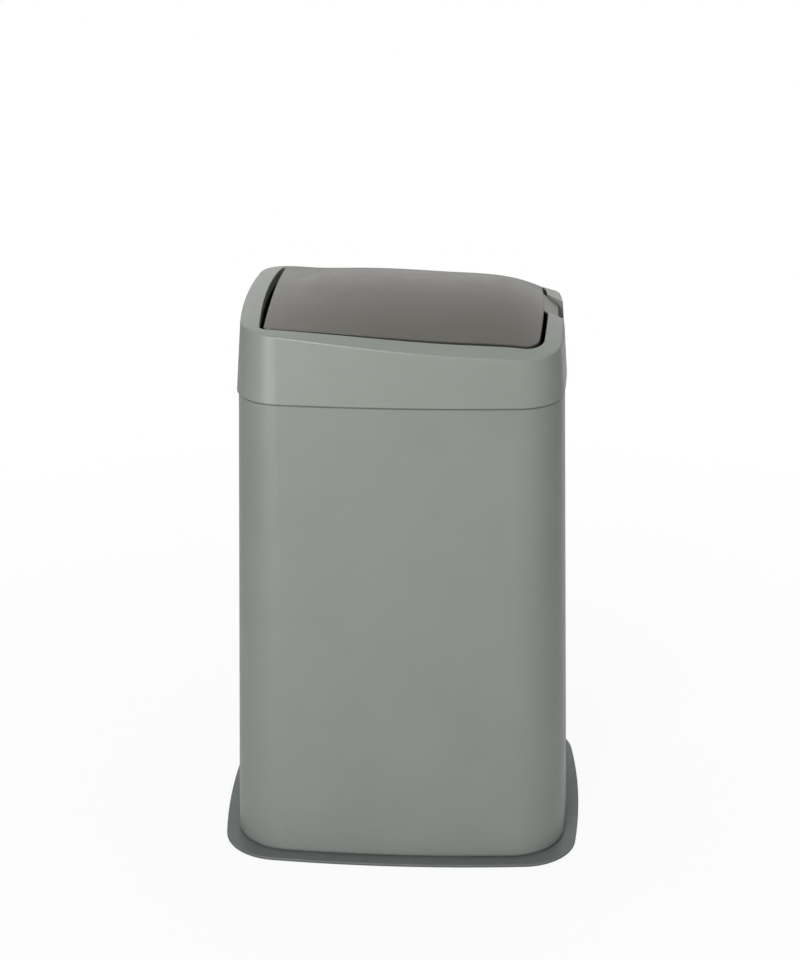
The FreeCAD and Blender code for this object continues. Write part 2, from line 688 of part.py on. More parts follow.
def build_tongue():
    """Finger tongue: a sloping tab with a lip under its end, drawn from the side and rounded at the end."""
    root_x = flap_tongue_x - s.flap_skirt
    root_z = tongue_root_z + s.tongue_slope * s.flap_skirt
    lip_x = tongue_end - s.tongue_lip
    lip_z = tongue_end_z - s.tongue_lip_drop
    under_z = tongue_end_z + s.tongue_slope * s.tongue_lip - s.tongue_thickness
    corners = [(root_x, root_z), (tongue_end, tongue_end_z), (tongue_end, lip_z), (lip_x, lip_z),
               (lip_x, under_z), (root_x, root_z - s.tongue_thickness)]
    profile = doc.addObject("Sketcher::SketchObject", "tongue_profile")
    profile.Placement = FreeCAD.Placement(FreeCAD.Vector(0, 0, 0), SECTION_ALONG_X)
    points = [FreeCAD.Vector(x.number, z.number, 0) for x, z in corners]
    for start, finish in zip(points, points[1:] + points[:1]):
        profile.addGeometry(Part.LineSegment(start, finish), False)
    for number, (x, z) in enumerate(corners):
        before = (number - 1) % len(corners)
        profile.addConstraint(Sketcher.Constraint("Coincident", before, FINISH, number, START))
        dimension(profile, x, "DistanceX", ORIGIN, START, number, START)
        dimension(profile, z, "DistanceY", ORIGIN, START, number, START)
    tab = doc.addObject("Part::Extrusion", "tongue_tab")
    tab.Base = profile
    tab.DirMode = "Custom"
    tab.Dir = FreeCAD.Vector(0, 1, 0)
    tab.Solid = True
    bind(tab, "LengthFwd", tongue_half)
    bind(tab, "LengthRev", tongue_half)
    doc.recompute()
    radius = s.tongue_round.number
    rounds = []
    for number, edge in enumerate(tab.Shape.Edges, start=1):
        box = edge.BoundBox
        if box.XMax > tongue_end.number - TOUCH and box.ZMax > tongue_end_z.number - TOUCH:
            rounds.append((number, radius, radius))
    tongue = doc.addObject("Part::Fillet", "tongue")
    tongue.Base = tab
    tongue.Edges = rounds
    return tongue


def build_flap_lid():
    """Arched flap with a skirt, two ribs, eyes for the pins and a finger tongue with a lip."""
    plate = upright("flap_plate", flap_outline("flap_edge", ZERO), top_depth)
    slab = shared("flap_slab", plate, under_crown("flap_depth", ZERO, s.flap_skirt_drop))
    softened = soften_top("flap_softened", slab, s.flap_round, s.flap_round)
    inner_plate = upright("flap_inner_plate", flap_outline("flap_inner_edge", s.flap_skirt), top_depth)
    hollow_depth = under_crown("flap_hollow_depth", s.flap_thickness, s.flap_skirt_drop + s.cut_over)
    shell = less("flap_shell", softened, shared("flap_hollow", inner_plate, hollow_depth))
    tongue = build_tongue()

    def rib(name, sign):
        middle = s.flap_rib_spacing / 2 * sign
        bar = block("flap_rib_bar_" + name, (-flap_pivot_x, middle - s.flap_skirt / 2, s.seam_height),
                    (flap_tongue_x, middle + s.flap_skirt / 2, block_top))
        return shared("flap_rib_" + name, shared("flap_rib_cut_" + name, bar, plate),
                      under_crown("flap_rib_depth_" + name, s.flap_thickness / 2, s.flap_skirt_drop))

    def pivot_eye(name, sign):
        start, finish = span_y(sign, flap_eye_y - s.flap_eye_width, flap_eye_y)
        eye = rod("flap_eye_" + name, s.pivot_eye, (-pivot_x, start, pivot_z), s.flap_eye_width)
        web = block("flap_web_" + name, (-pivot_x - s.pivot_eye / 2, start, pivot_z),
                    (-pivot_x + s.pivot_eye / 2, finish, block_top))
        whole = joined("flap_pivot_" + name, [eye, web])
        depth = under_crown("flap_eye_depth_" + name, s.flap_thickness / 2, top_depth)
        return shared("flap_pivot_cut_" + name, whole, depth)

    solid = joined("flap_whole", [shell, tongue] + each_side(rib) + each_side(pivot_eye))
    bore_end = flap_eye_y + s.cut_over
    bore = rod("flap_bore", pin_bore, (-pivot_x, -bore_end, pivot_z), bore_end * 2)
    return less("flap_lid", solid, bore)


def build_pin(label, sign):
    """Headed pin, pushed outwards through the flap's eye into the collar's eye."""
    head_outer = flap_eye_y - s.flap_eye_width - s.rest_gap
    tip = collar_eye_y + s.collar_eye_width
    start, finish = span_y(sign, head_outer, tip)
    shank = rod(label + "_shank", s.pin_diameter, (-pivot_x, start, pivot_z), finish - start)
    start, finish = span_y(sign, head_outer - s.pin_head_height, head_outer)
    head = rod(label + "_head", s.pin_head, (-pivot_x, start, pivot_z), finish - start)
    return joined(label, [shank, head])


pieces = [build_foot_base(), build_foot_pads(), build_foot_screws(), build_bin_body()]
crown = build_crown_surface()
pieces += [build_lid_frame(), build_flap_lid()]
pieces += [build_pin("hinge_pin_front", NEAR), build_pin("hinge_pin_rear", FAR)]
doc.recompute()

for item in doc.Objects:
    if "Invalid" in item.State or "Error" in item.State:
        raise RuntimeError("%s failed: %s" % (item.Label, item.State))
os.makedirs("parts", exist_ok=True)
for piece in pieces:
    shape = piece.Shape
    if shape.isNull() or not shape.isValid():
        raise RuntimeError("%s has no valid shape" % piece.Label)
    print("%-16s solids %d  volume %9.0f" % (piece.Label, len(shape.Solids), shape.Volume))
for piece in pieces:
    piece.Shape.exportStep("parts/%s.step" % piece.Label)
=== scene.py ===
# %% [markdown]
# # A kitchen bin with an arched swing flap
# This lesson dresses a packed construction model of a tall plastic bin. The solids already have
# the true shapes, so the lesson adds finishes, small hardware, light and a camera.

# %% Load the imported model
import json
import math

import bpy
from mathutils import Matrix, Vector

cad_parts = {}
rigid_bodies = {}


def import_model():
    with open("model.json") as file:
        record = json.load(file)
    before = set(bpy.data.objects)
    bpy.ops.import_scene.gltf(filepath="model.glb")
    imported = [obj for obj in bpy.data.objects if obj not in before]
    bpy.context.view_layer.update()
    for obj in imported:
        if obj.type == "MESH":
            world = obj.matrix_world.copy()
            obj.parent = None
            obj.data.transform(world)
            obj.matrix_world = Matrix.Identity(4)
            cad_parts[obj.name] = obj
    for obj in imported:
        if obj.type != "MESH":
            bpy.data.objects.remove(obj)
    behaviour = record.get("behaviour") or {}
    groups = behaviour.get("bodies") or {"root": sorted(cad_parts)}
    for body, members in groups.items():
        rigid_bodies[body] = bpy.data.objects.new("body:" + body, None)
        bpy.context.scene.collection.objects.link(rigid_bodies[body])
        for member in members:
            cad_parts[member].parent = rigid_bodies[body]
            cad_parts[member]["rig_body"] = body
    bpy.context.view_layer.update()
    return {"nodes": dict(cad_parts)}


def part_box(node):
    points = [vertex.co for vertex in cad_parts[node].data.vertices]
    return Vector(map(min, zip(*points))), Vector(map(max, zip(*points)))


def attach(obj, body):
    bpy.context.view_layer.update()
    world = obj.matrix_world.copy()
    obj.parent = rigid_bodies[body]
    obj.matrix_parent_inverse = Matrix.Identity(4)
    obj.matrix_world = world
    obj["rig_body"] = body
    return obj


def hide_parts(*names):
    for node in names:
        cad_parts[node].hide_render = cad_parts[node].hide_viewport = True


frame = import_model()
nodes = frame["nodes"]
bpy.ops.object.select_all(action="DESELECT")
print("nodes:", sorted(nodes))

# %% [markdown]
# Every colour is written as a hex value, the way a paint chart gives it. Blender mixes light in
# linear values, so one function turns the hex digits into linear red, green and blue. Another adds
# a node with its settings and links. A Mix node has sockets of the same name for numbers and for
# colours, so its colour sockets are told apart by their place.

# %% Colour and node helpers
MM = 0.001
MIX_A, MIX_B, MIX_RESULT = 6, 7, 2


def linear(hex_colour):
    """Linear RGBA of an sRGB hex colour such as 7F8A80."""
    channels = [int(hex_colour[at:at + 2], 16) / 255 for at in (0, 2, 4)]
    return [c / 12.92 if c <= 0.04045 else ((c + 0.055) / 1.055) ** 2.4 for c in channels] + [1.0]


def add_node(tree, kind, inputs=None, **settings):
    """Adds one node: settings are its own options, inputs are values or sockets to link."""
    made = tree.nodes.new(kind)
    for name, value in settings.items():
        setattr(made, name, value)
    for name, value in (inputs or {}).items():
        if isinstance(value, bpy.types.NodeSocket):
            tree.links.new(value, made.inputs[name])
        else:
            made.inputs[name].default_value = value
    return made


def new_material(name):
    """An empty node material, and its tree."""
    material = bpy.data.materials.new(name)
    material.use_nodes = True
    material.node_tree.nodes.clear()
    return material, material.node_tree


print("linear value of mid grey:", [round(c, 3) for c in linear("808080")])

# %% [markdown]
# Use leaves its marks in places: shoes scuff the foot, hands polish the collar, fingers the flap. Other
# zones hold painted shade: the flap's walls, a line under the collar's ledge, the foot along the floor.
# Such places could be painted by hand on a map. An ellipsoid in Object coordinates needs no map and
# moves with its piece, so each zone here is a middle and a reach.

# %% Zones of wear and dust
FAR = 10.0
shoes = ((0, 0, 0.02), (FAR, FAR, 0.1))
hands = ((0, 0, 0.52), (FAR, FAR, 0.06))
fingers = ((0.16, 0, 0.58), (0.05, 0.06, 0.05))
# zones of painted shade: every wall of the flap, a thin line under the collar's ledge, the floor line
everywhere = ((0, 0, 0.5), (FAR, FAR, FAR))
shade_under_collar = ((0, 0, 0.5192), (FAR, FAR, 1.4 * MM))
on_floor = ((0, 0, 0), (FAR, FAR, 3 * MM))


def zone_near(tree, place, middle, reach):
    """1 in the middle of an ellipsoid in Object coordinates, 0 at its skin and outside."""
    offset = add_node(tree, "ShaderNodeVectorMath", {0: place, 1: middle}, operation="SUBTRACT")
    scaled = add_node(tree, "ShaderNodeVectorMath", {
        0: offset.outputs["Vector"], 1: [1 / length for length in reach]}, operation="MULTIPLY")
    away = add_node(tree, "ShaderNodeVectorMath", {0: scaled.outputs["Vector"]}, operation="LENGTH")
    zone = add_node(tree, "ShaderNodeMapRange", {
        "Value": away.outputs["Value"], "To Min": 1.0, "To Max": 0.0})
    return zone.outputs["Result"]


# the line of painted shade under the collar's ledge, where its shadow falls
print("the dust line under the collar lies at", shade_under_collar[0][2], "m")

# %% [markdown]
# The shells are injection-moulded polypropylene. The melt cools unevenly, so the tone drifts a little
# over a hand's breadth, and the eye sees a plain grey that is never quite flat. A painted picture could
# give that, but noise in Object coordinates needs no picture and fits every piece. Most of a noise lies
# between 0.3 and 0.7, so that range is stretched to the full one.

# %% Tone of the plastic
DRIFT_MM = 90
NOISE_LOW, NOISE_HIGH = 0.3, 0.7
FLECK_SWING = 0.18


def plastic_tone(tree, place, shade, deep_shade, grain_mm):
    """Two close shades that drift from one to the other, with a fleck for each grain."""
    drift = add_node(tree, "ShaderNodeTexNoise", {
        "Vector": place, "Scale": 1 / (DRIFT_MM * MM), "Detail": 3.0, "Roughness": 0.55})
    tone = add_node(tree, "ShaderNodeMapRange", {
        "Value": drift.outputs["Fac"], "From Min": NOISE_LOW, "From Max": NOISE_HIGH})
    flecks = add_node(tree, "ShaderNodeTexVoronoi", {"Vector": place, "Scale": 1 / (grain_mm * MM)})
    fleck_tone = add_node(tree, "ShaderNodeMapRange", {
        "Value": flecks.outputs["Color"], "To Min": -FLECK_SWING, "To Max": FLECK_SWING})
    share = add_node(tree, "ShaderNodeMath", {
        0: tone.outputs["Result"], 1: fleck_tone.outputs["Result"]}, operation="ADD", use_clamp=True)
    colour = add_node(tree, "ShaderNodeMix", {
        "Factor": share.outputs[0], MIX_A: linear(deep_shade), MIX_B: linear(shade)}, data_type="RGBA")
    return colour.outputs[MIX_RESULT]


print("the tone drifts over", DRIFT_MM, "mm")

# %% [markdown]
# Inside a wear zone fine level scratches turn the plastic paler, as where a bin slides along a wall or
# is wiped from side to side. A noise that is stretched sideways and cut off high leaves only thin
# lines. Real ones are about 0.2 mm wide, and these are drawn at 0.6 mm so that they show.

# %% Scratches
SCRATCH_MM = 0.6
SCRATCH_STRETCH = (0.03, 0.03, 1.0)
SCRATCH_LOW, SCRATCH_HIGH = 0.58, 0.7
RUBBED_SHADE, RUBBED_SHARE = "D8DAD6", 0.05


def rubbed(tree, place, colour, worn_zone):
    """Paler level scratches where the plastic is worn."""
    level = add_node(tree, "ShaderNodeMapping", {"Vector": place, "Scale": SCRATCH_STRETCH})
    scratches = add_node(tree, "ShaderNodeTexNoise", {
        "Vector": level.outputs["Vector"], "Scale": 1 / (SCRATCH_MM * MM), "Detail": 2.0})
    lines = add_node(tree, "ShaderNodeMapRange", {
        "Value": scratches.outputs["Fac"], "From Min": SCRATCH_LOW, "From Max": SCRATCH_HIGH})
    wear = add_node(tree, "ShaderNodeMath", {
        0: lines.outputs["Result"], 1: worn_zone}, operation="MULTIPLY")
    paleness = add_node(tree, "ShaderNodeMath", {
        0: wear.outputs[0], 1: RUBBED_SHARE}, operation="MULTIPLY")
    mixed = add_node(tree, "ShaderNodeMix", {
        "Factor": paleness.outputs[0], MIX_A: colour, MIX_B: linear(RUBBED_SHADE)}, data_type="RGBA")
    return mixed.outputs[MIX_RESULT]


print("scratches are", SCRATCH_MM, "mm wide")

# %% [markdown]
# Shade is painted on walls that stand in a gap, such as the sides of the flap and the line under the
# collar, so that the gap looks as deep as its shadow makes it. The normal in Object coordinates tells
# which way a face looks: its Z is near 1 or -1 on a level face and near 0 on a wall. A last mix paints
# shade on what faces sideways inside a zone of painted shade.

# %% Painted shade in gaps
STEEP, SLOPING = 0.45, 0.75
# painted shade: the dark colour, and the share of it laid on walls in gaps and under ledges
PAINTED_SHADE_COLOUR, PAINTED_SHADE_SHARE = "1C1C1A", 0.8


def with_painted_shade(tree, coordinates, colour, shade_zone):
    """Painted shade where a wall faces sideways inside a zone of painted shade."""
    facing = add_node(tree, "ShaderNodeSeparateXYZ", {"Vector": coordinates.outputs["Normal"]})
    levelness = add_node(tree, "ShaderNodeMath", {0: facing.outputs["Z"]}, operation="ABSOLUTE")
    walls = add_node(tree, "ShaderNodeMapRange", {
        "Value": levelness.outputs[0], "From Min": STEEP, "From Max": SLOPING,
        "To Min": PAINTED_SHADE_SHARE, "To Max": 0.0})
    zone = zone_near(tree, coordinates.outputs["Object"], *shade_zone)
    # painted shade on the sideways walls inside the zone
    painted_shade = add_node(tree, "ShaderNodeMath", {0: walls.outputs["Result"], 1: zone}, operation="MULTIPLY")
    mixed = add_node(tree, "ShaderNodeMix", {
        "Factor": painted_shade.outputs[0], MIX_A: colour, MIX_B: linear(PAINTED_SHADE_COLOUR)}, data_type="RGBA")
    return mixed.outputs[MIX_RESULT]


# painted shade covers at most this share of a wall's colour
print("dust covers at most", PAINTED_SHADE_SHARE, "of a wall's colour")

# %% [markdown]
# The mould is spark-eroded, which leaves a fine satin grain, so the plastic shines softly and never
# mirrors. The real grain is about 0.3 mm wide, too fine to show here, and is drawn at 0.7 to 0.9 mm.
# The gloss is uneven in patches as wide as a thumb, and a little smoother where hands and shoes rub.
# The polish stays small, because specks showed in trial renders where the roughness fell to about 0.25.
# Polypropylene has an index of refraction of 1.49, and the rubber of the pads is close to it.

# %% Gloss and grain of the plastic
PATCH_MM = 28
SMOOTHER, ROUGHER = 0.04, 0.05
POLISH = 0.03
GRAIN_DEPTH_SHARE, GRAIN_STRENGTH = 0.04, 0.35
PLASTIC_IOR = 1.49


def plastic_gloss(tree, place, roughness, worn_zone):
    """Roughness that varies in patches, and is a little lower where the plastic is worn."""
    patches = add_node(tree, "ShaderNodeTexNoise", {
        "Vector": place, "Scale": 1 / (PATCH_MM * MM), "Detail": 4.0, "Roughness": 0.6})
    gloss = add_node(tree, "ShaderNodeMapRange", {
        "Value": patches.outputs["Fac"], "From Min": NOISE_LOW, "From Max": NOISE_HIGH,
        "To Min": roughness - SMOOTHER, "To Max": roughness + ROUGHER})
    polish = add_node(tree, "ShaderNodeMath", {0: worn_zone, 1: POLISH}, operation="MULTIPLY")
    final_gloss = add_node(tree, "ShaderNodeMath", {
        0: gloss.outputs["Result"], 1: polish.outputs[0]}, operation="SUBTRACT")
    return final_gloss.outputs[0]


def moulded_plastic(name, shade, deep_shade, grain_mm, roughness, worn, shade_zone):
    """Moulded plastic with its tone, wear, painted shade in gaps, gloss and grain."""
    material, tree = new_material(name)
    coordinates = add_node(tree, "ShaderNodeTexCoord")
    place = coordinates.outputs["Object"]
    worn_zone = zone_near(tree, place, *worn)
    colour = plastic_tone(tree, place, shade, deep_shade, grain_mm)
    colour = rubbed(tree, place, colour, worn_zone)
    # painted shade on walls in gaps and under the collar's ledge
    colour = with_painted_shade(tree, coordinates, colour, shade_zone)
    grain = add_node(tree, "ShaderNodeTexNoise", {
        "Vector": place, "Scale": 1 / (grain_mm * MM), "Detail": 2.0})
    bump = add_node(tree, "ShaderNodeBump", {
        "Height": grain.outputs["Fac"], "Strength": GRAIN_STRENGTH,
        "Distance": GRAIN_DEPTH_SHARE * grain_mm * MM})
    skin = add_node(tree, "ShaderNodeBsdfPrincipled", {
        "Base Color": colour, "Roughness": plastic_gloss(tree, place, roughness, worn_zone),
        "IOR": PLASTIC_IOR, "Normal": bump.outputs["Normal"]})
    add_node(tree, "ShaderNodeOutputMaterial", {"Surface": skin.outputs["BSDF"]})
    print("material:", name)
    return material


# %% [markdown]
# The bucket and the collar are the same satin grey, the collar a shade paler. The flap is a darker,
# warmer grey, and the foot is dark and more matte, because it is meant to take scuffs. The four
# construction solids keep their shapes and only take these finishes.

# %% Finishes of the shells
SATIN_GRAIN_MM, SATIN = 0.7, 0.36
MATTE_GRAIN_MM, MATTE = 0.9, 0.5
# the last zone of each finish is where its sideways walls take painted shade
FINISHES = {
    "bin_body": moulded_plastic("bucket_moulded_polypropylene", "8F948F", "8B908B",
                                SATIN_GRAIN_MM, SATIN, shoes, shade_under_collar),
    "lid_frame": moulded_plastic("collar_moulded_polypropylene", "949992", "90958E",
                                 SATIN_GRAIN_MM, SATIN, hands, shade_under_collar),
    "flap_lid": moulded_plastic("flap_moulded_polypropylene", "6C6A64", "686660",
                                SATIN_GRAIN_MM, SATIN, fingers, everywhere),
    "foot_base": moulded_plastic("foot_moulded_polypropylene", "717776", "6D7372",
                                 MATTE_GRAIN_MM, MATTE, shoes, on_floor),
}
for node_name, finish in FINISHES.items():
    nodes[node_name].data.materials.clear()
    nodes[node_name].data.materials.append(finish)

# %% [markdown]
# The pins are drawn steel wire, the screws are zinc-plated steel, and the pads are moulded rubber.
# Drawing and turning leave fine lines that spread the gloss. A noise stretched along one axis draws
# them about half a millimetre wide, several times their real width.

# %% Finishes of the hardware
STREAK_DEPTH_MM, STREAK_STRENGTH = 0.02, 0.3
GLOSS_SWING = 0.1


def plated_steel(name, shade, streak_mm, roughness, stretch):
    """Steel with fine marks left by drawing or turning, drawn out along one axis."""
    material, tree = new_material(name)
    place = add_node(tree, "ShaderNodeTexCoord").outputs["Object"]
    along = add_node(tree, "ShaderNodeMapping", {"Vector": place, "Scale": stretch})
    streaks = add_node(tree, "ShaderNodeTexNoise", {
        "Vector": along.outputs["Vector"], "Scale": 1 / (streak_mm * MM), "Detail": 4.0})
    gloss = add_node(tree, "ShaderNodeMapRange", {
        "Value": streaks.outputs["Fac"],
        "To Min": roughness - GLOSS_SWING, "To Max": roughness + GLOSS_SWING})
    bump = add_node(tree, "ShaderNodeBump", {
        "Height": streaks.outputs["Fac"], "Strength": STREAK_STRENGTH, "Distance": STREAK_DEPTH_MM * MM})
    skin = add_node(tree, "ShaderNodeBsdfPrincipled", {
        "Base Color": linear(shade), "Metallic": 1.0, "Roughness": gloss.outputs["Result"],
        "Normal": bump.outputs["Normal"]})
    add_node(tree, "ShaderNodeOutputMaterial", {"Surface": skin.outputs["BSDF"]})
    print("material:", name)
    return material


wire = plated_steel("drawn_steel_wire", "B4B4B0", 0.5, 0.4, (1.0, 0.05, 1.0))
zinc = plated_steel("zinc_plated_steel", "B9BAB4", 0.6, 0.4, (1.0, 1.0, 0.2))
# the pads' walls along the floor take painted shade, as the foot's do
rubber = moulded_plastic("pad_moulded_rubber", "2A2A2A", "242424", 0.8, 0.8, shoes, on_floor)

# %% [markdown]
# The screws, the pads and the pins are all turned forms. A profile could be spun, but extruding a
# filled circle is closer to how a lathe works: each step extrudes the last face along the axis and
# scales it to the next radius. So every turned piece is only a list of lengths and radii.

# %% Turning
SIDES = 32
SMOOTH_ANGLE = math.radians(35)


def turned(name, start, axis, steps):
    """Turned solid: steps give how far each ring lies past the last one, and its radius, in mm."""
    axis = Vector(axis)
    radius = steps[0][1]
    bpy.ops.object.select_all(action="DESELECT")
    bpy.ops.mesh.primitive_circle_add(vertices=SIDES, radius=radius * MM, fill_type="NGON", location=start,
                                      rotation=axis.to_track_quat("Z", "Y").to_euler())
    made = bpy.context.object
    made.name = name
    bpy.ops.object.transform_apply(location=True, rotation=True, scale=True)
    bpy.ops.object.mode_set(mode="EDIT")
    bpy.ops.mesh.select_all(action="SELECT")
    for advance, next_radius in steps[1:]:
        bpy.ops.mesh.extrude_region_move(TRANSFORM_OT_translate={"value": axis * advance * MM})
        share = next_radius / radius
        bpy.ops.transform.resize(value=(share, share, share))
        radius = next_radius
    bpy.ops.mesh.select_all(action="SELECT")
    bpy.ops.mesh.normals_make_consistent(inside=False)
    bpy.ops.object.mode_set(mode="OBJECT")
    bpy.ops.object.shade_smooth_by_angle(angle=SMOOTH_ANGLE)
    return made


print("turned pieces have", SIDES, "sides")

# %% [markdown]
# A finished piece takes the place of a plain construction solid.

# %% Modifiers and dressing


def apply_modifier(piece, kind, **settings):
    """Adds a modifier, sets it and applies it."""
    bpy.ops.object.select_all(action="DESELECT")
    piece.select_set(True)
    bpy.context.view_layer.objects.active = piece
    made = piece.modifiers.new(kind.lower(), kind)
    for name, value in settings.items():
        setattr(made, name, value)
    bpy.ops.object.modifier_apply(modifier=made.name)


def dress(piece, body, node, finish):
    """Puts a new piece in the place of a node, on its body, with a finish."""
    piece.data.materials.clear()
    piece.data.materials.append(finish)
    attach(piece, body)
    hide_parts(node)
    size = [round(length / MM, 1) for length in piece.dimensions]
    print(piece.name, "has", len(piece.data.polygons), "faces and spans", size, "mm")


# %% [markdown]
# Four pan-head screws hold the foot to the bosses of the bucket. The head is low and domed so that it
# stays inside its sink. The shank's ridges are rings and not a true helix, which nobody can tell once
# the screw is in its hole, and rings come straight from the turning steps.

# %% Screw blank
HEAD_MM, SHANK_MM, ROOT_MM = 4.0, 2.0, 1.64
RIDGES = 11
screw_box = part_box("foot_screws")
screw_at = Vector((screw_box[1].x - HEAD_MM * MM, screw_box[1].y - HEAD_MM * MM, screw_box[0].z))
screw_head = [(0, 3.0), (0.12, 3.5), (0.25, 3.85), (0.4, HEAD_MM), (0.63, HEAD_MM), (0.01, 1.7)]
ridge = [(0.35, ROOT_MM), (0.1, SHANK_MM), (0.1, SHANK_MM), (0.25, ROOT_MM)]
screw_tip = [(0.6, 1.3), (0.6, 0.4)]
screws = turned("foot_screw_set", screw_at, (0, 0, 1), screw_head + ridge * RIDGES + screw_tip)
print("one screw has", len(screws.data.vertices), "points")

# %% [markdown]
# A cross recess takes the driver. On the real screw a punch presses it in, and a Boolean does the
# same here: a bevelled bar is cut out of the head, turned by a quarter and cut out again. The bin is
# the same on both sides, so mirroring about both axes gives the other three screws.

# %% Cross recess and copies
CROSS_MM = (4.0, 0.9, 1.6)
CROSS_BEVEL_MM = 0.2
bpy.ops.object.select_all(action="DESELECT")
bpy.ops.mesh.primitive_cube_add(size=1.0, location=screw_at, scale=[length * MM for length in CROSS_MM])
cross = bpy.context.object
bpy.ops.object.transform_apply(location=True, rotation=True, scale=True)
bpy.ops.object.mode_set(mode="EDIT")
bpy.ops.mesh.select_all(action="SELECT")
bpy.ops.mesh.bevel(offset=CROSS_BEVEL_MM * MM, segments=1)
bpy.ops.object.mode_set(mode="OBJECT")
apply_modifier(screws, "BOOLEAN", object=cross, operation="DIFFERENCE", solver="EXACT")
bpy.ops.object.select_all(action="DESELECT")
cross.select_set(True)
bpy.context.view_layer.objects.active = cross
bpy.ops.object.mode_set(mode="EDIT")
bpy.ops.mesh.select_all(action="SELECT")
bpy.ops.transform.rotate(value=math.radians(90), orient_axis="Z", center_override=screw_at)
bpy.ops.object.mode_set(mode="OBJECT")
apply_modifier(screws, "BOOLEAN", object=cross, operation="DIFFERENCE", solver="EXACT")
bpy.data.objects.remove(cross)
apply_modifier(screws, "MIRROR", use_axis=(True, True, False))
dress(screws, "bucket", "foot_screws", zinc)

# %% [markdown]
# The pads keep the bin from sliding. Each is a disc of rubber with two ring grooves in its underside,
# so that it grips a wet floor, and its edge is eased so that it doesn't peel. A groove is a step back
# along the axis, so the pads are turned like the screws.

# %% Foot pads
PAD_MM = 12.0
pad_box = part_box("foot_pads")
pad_at = Vector((pad_box[1].x - PAD_MM * MM, pad_box[1].y - PAD_MM * MM, pad_box[1].z))
pad_edge = [(0, PAD_MM), (1.5, PAD_MM), (0.3, 11.8), (0.2, 11.4)]
outer_groove = [(0, 9.2), (-0.5, 8.9), (0, 8.1), (0.5, 7.8)]
inner_groove = [(0, 5.4), (-0.5, 5.1), (0, 4.3), (0.5, 4.0)]
pad_middle = [(0, 0.5)]
pads = turned("foot_pad_set", pad_at, (0, 0, -1), pad_edge + outer_groove + inner_groove + pad_middle)
apply_modifier(pads, "MIRROR", use_axis=(True, True, False))
dress(pads, "bucket", "foot_pads", rubber)

# %% [markdown]
# The flap hangs on two short pins. A wire pin is headed at one end by a punch, which leaves a flat
# dome, and its other end is chamfered so that it finds the bore. The heads face each other inside the
# bin, so the front pin is turned towards the front and the rear one towards the back.

# %% Hinge pins
PIN_MM = 2.5
pin_head = [(0, 2.4), (0.2, 3.3), (0.35, 3.8), (0.35, 4.0), (0.6, 4.0), (0.01, PIN_MM)]
pin_tip = [(0.6, 2.3), (0.4, 1.7)]
ends_mm = sum(advance for advance, radius in pin_head + pin_tip)
for node_name, facing in (("hinge_pin_front", -1), ("hinge_pin_rear", 1)):
    low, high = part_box(node_name)
    head_y = high.y if facing < 0 else low.y
    pin_at = ((low.x + high.x) / 2, head_y, (low.z + high.z) / 2)
    shank = [((high.y - low.y) / MM - ends_mm, PIN_MM)]
    pin = turned(node_name + "_wire", pin_at, (0, facing, 0), pin_head + shank + pin_tip)
    dress(pin, nodes[node_name]["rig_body"], node_name, wire)

# %% [markdown]
# The stage is a white sheet under a white world. Near the bin a little of the sheet's own shading
# shows, so that the bin stands in its shadow, and further out the sheet turns plain white and meets
# the world without a line.

# %% Floor
FLOOR_M = 40
SHADOW_FROM_M, SHADOW_TO_M = 0.3, 1.2
WHITE_NEAR, WHITE_FAR = 0.92, 1.0
bpy.ops.mesh.primitive_plane_add(size=FLOOR_M)
floor = bpy.context.object
floor.name = "studio_floor"
floor_paint, tree = new_material("floor_paint")
spot = add_node(tree, "ShaderNodeTexCoord").outputs["Object"]
away = add_node(tree, "ShaderNodeVectorMath", {0: spot}, operation="LENGTH")
whiteness = add_node(tree, "ShaderNodeMapRange", {
    "Value": away.outputs["Value"], "From Min": SHADOW_FROM_M, "From Max": SHADOW_TO_M,
    "To Min": WHITE_NEAR, "To Max": WHITE_FAR})
floor_rays = add_node(tree, "ShaderNodeLightPath")
seen = add_node(tree, "ShaderNodeMath", {
    0: floor_rays.outputs["Is Camera Ray"], 1: whiteness.outputs["Result"]}, operation="MULTIPLY")
paper = add_node(tree, "ShaderNodeBsdfDiffuse", {"Color": linear("F4F4F4")})
glow = add_node(tree, "ShaderNodeEmission", {"Color": linear("FFFFFF"), "Strength": 1.0})
skin = add_node(tree, "ShaderNodeMixShader", {
    0: seen.outputs[0], 1: paper.outputs["BSDF"], 2: glow.outputs["Emission"]})
add_node(tree, "ShaderNodeOutputMaterial", {"Surface": skin.outputs["Shader"]})
floor.data.materials.append(floor_paint)
print("the floor turns plain white", SHADOW_TO_M, "m from the middle")

# %% [markdown]
# Camera rays see the world at full white. Mirror rays see it white near the horizon and dim overhead,
# as under a dark studio ceiling, which gives the arched flap its fall from light to dark. The light
# that the world throws on the bin is weaker.

# %% World
SKY_LIGHT = 0.15
HORIZON, CEILING = 1.0, 0.1
CEILING_FROM, CEILING_TO = 0.7, 0.97
world = bpy.data.worlds.new("studio_world")
bpy.context.scene.world = world
world.use_nodes = True
tree = world.node_tree
tree.nodes.clear()
rays = add_node(tree, "ShaderNodeLightPath")
heading = add_node(tree, "ShaderNodeTexCoord").outputs["Generated"]
height = add_node(tree, "ShaderNodeSeparateXYZ", {"Vector": heading})
ceiling = add_node(tree, "ShaderNodeMapRange", {
    "Value": height.outputs["Z"], "From Min": CEILING_FROM, "From Max": CEILING_TO,
    "To Min": HORIZON, "To Max": CEILING})
mirrored = add_node(tree, "ShaderNodeMapRange", {
    "Value": rays.outputs["Is Glossy Ray"], "To Min": SKY_LIGHT, "To Max": ceiling.outputs["Result"]})
strength = add_node(tree, "ShaderNodeMath", {
    0: rays.outputs["Is Camera Ray"], 1: mirrored.outputs["Result"]}, operation="MAXIMUM")
sky = add_node(tree, "ShaderNodeBackground", {
    "Color": linear("FFFFFF"), "Strength": strength.outputs[0]})
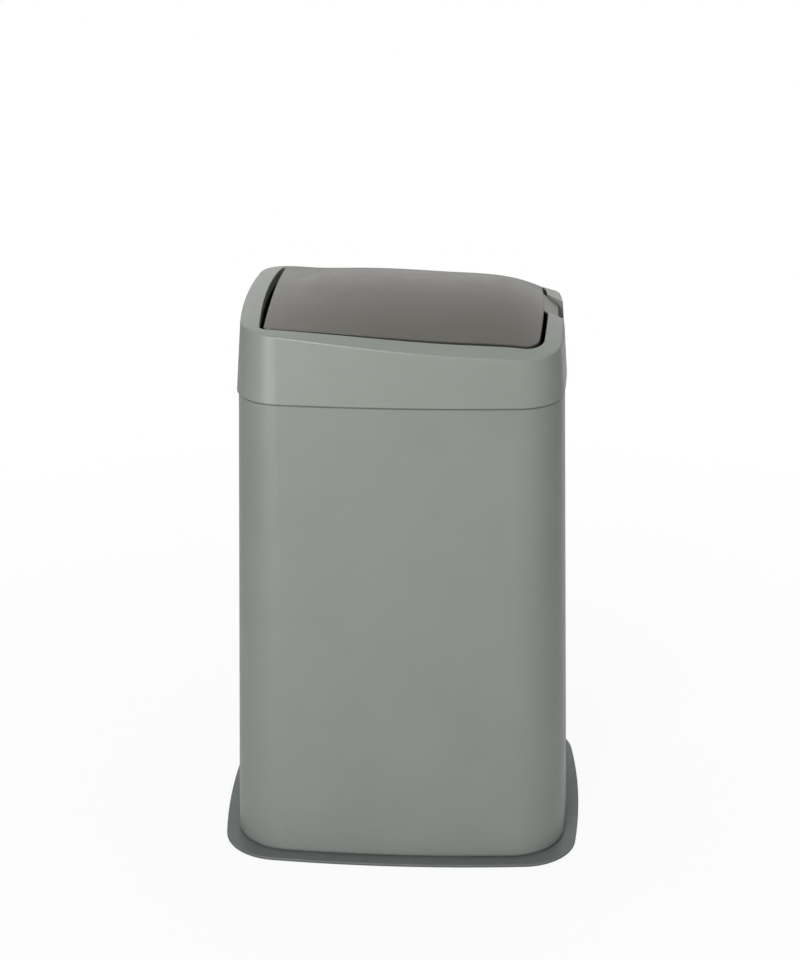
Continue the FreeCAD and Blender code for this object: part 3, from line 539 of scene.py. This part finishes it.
add_node(tree, "ShaderNodeOutputWorld", {"Surface": sky.outputs["Background"]})
print("the world lights the bin at", SKY_LIGHT)

# %% [markdown]
# One soft lamp stands left of the camera and about as high, so that the front is brightest at its upper
# left corner and turns darker to the right and down. A weak one fills from the right, one behind lights
# the back, and one overhead lights the flap. These last two would mirror in the flap, so mirror rays
# don't see them. A low one at the left is there only to mirror, and draws the soft sheen along the
# collar's rounded corner.

# %% Lamps


def soft_lamp(name, place, target, width, height, watts):
    """Area lamp that faces a point."""
    bpy.ops.object.light_add(type="AREA", location=place)
    lamp = bpy.context.object
    lamp.name = name
    lamp.data.shape = "RECTANGLE"
    lamp.data.size = width
    lamp.data.size_y = height
    lamp.data.energy = watts
    lamp.rotation_euler = (Vector(target) - Vector(place)).to_track_quat("-Z", "Y").to_euler()
    return lamp


soft_lamp("key_lamp", (-0.5, -2.0, 1.3), (0, 0, 0.4), width=0.8, height=0.8, watts=27)
soft_lamp("fill_lamp", (1.7, -2.2, 1.2), (0, 0, 0.35), width=1.4, height=1.4, watts=4.5)
top_lamp = soft_lamp("top_lamp", (0.15, 0.5, 2.5), (0, 0, 0.5), width=2.0, height=2.0, watts=18)
back_lamp = soft_lamp("back_lamp", (0.2, 2.6, 1.3), (0, 0, 0.4), width=1.6, height=1.6, watts=20)
sheen_lamp = soft_lamp("sheen_lamp", (-1.4, -2.0, 0.45), (0, 0, 0.5), width=1.0, height=0.7, watts=16)
top_lamp.visible_glossy = False
back_lamp.visible_glossy = False
sheen_lamp.visible_diffuse = False

# %% [markdown]
# The camera stands a little to the right of the middle and looks down by about 22 degrees. Its
# place and lens follow from the lines of the foot, the seam and the ridge in the picture.

# %% Camera
SENSOR_MM = 36.0
LONG_SIDE_PX = 960
FOCAL_PX = 2088.25
pitch, roll, yaw = 0.3802, -0.0028, -0.0563
side_step, eye_height, distance = 5.24 * MM, 1234.2 * MM, 2118.6 * MM
camera_data = bpy.data.cameras.new("photo_camera")
camera_data.sensor_width = SENSOR_MM
camera_data.lens = FOCAL_PX * SENSOR_MM / LONG_SIDE_PX
camera = bpy.data.objects.new("photo_camera", camera_data)
bpy.context.scene.collection.objects.link(camera)
swing = Matrix.Rotation(-yaw, 3, "Z")
forward = swing @ Vector((0, math.cos(pitch), -math.sin(pitch)))
level_view = forward.to_track_quat("-Z", "Y")
camera.location = swing @ Vector((-side_step, -distance, eye_height))
camera.rotation_mode = "QUATERNION"
camera.rotation_quaternion = level_view @ Matrix.Rotation(roll, 3, "Z").to_quaternion()
bpy.context.scene.camera = camera
bpy.context.scene.view_settings.view_transform = "Standard"
print("camera at", [round(c, 4) for c in camera.location], "lens", round(camera_data.lens, 2))
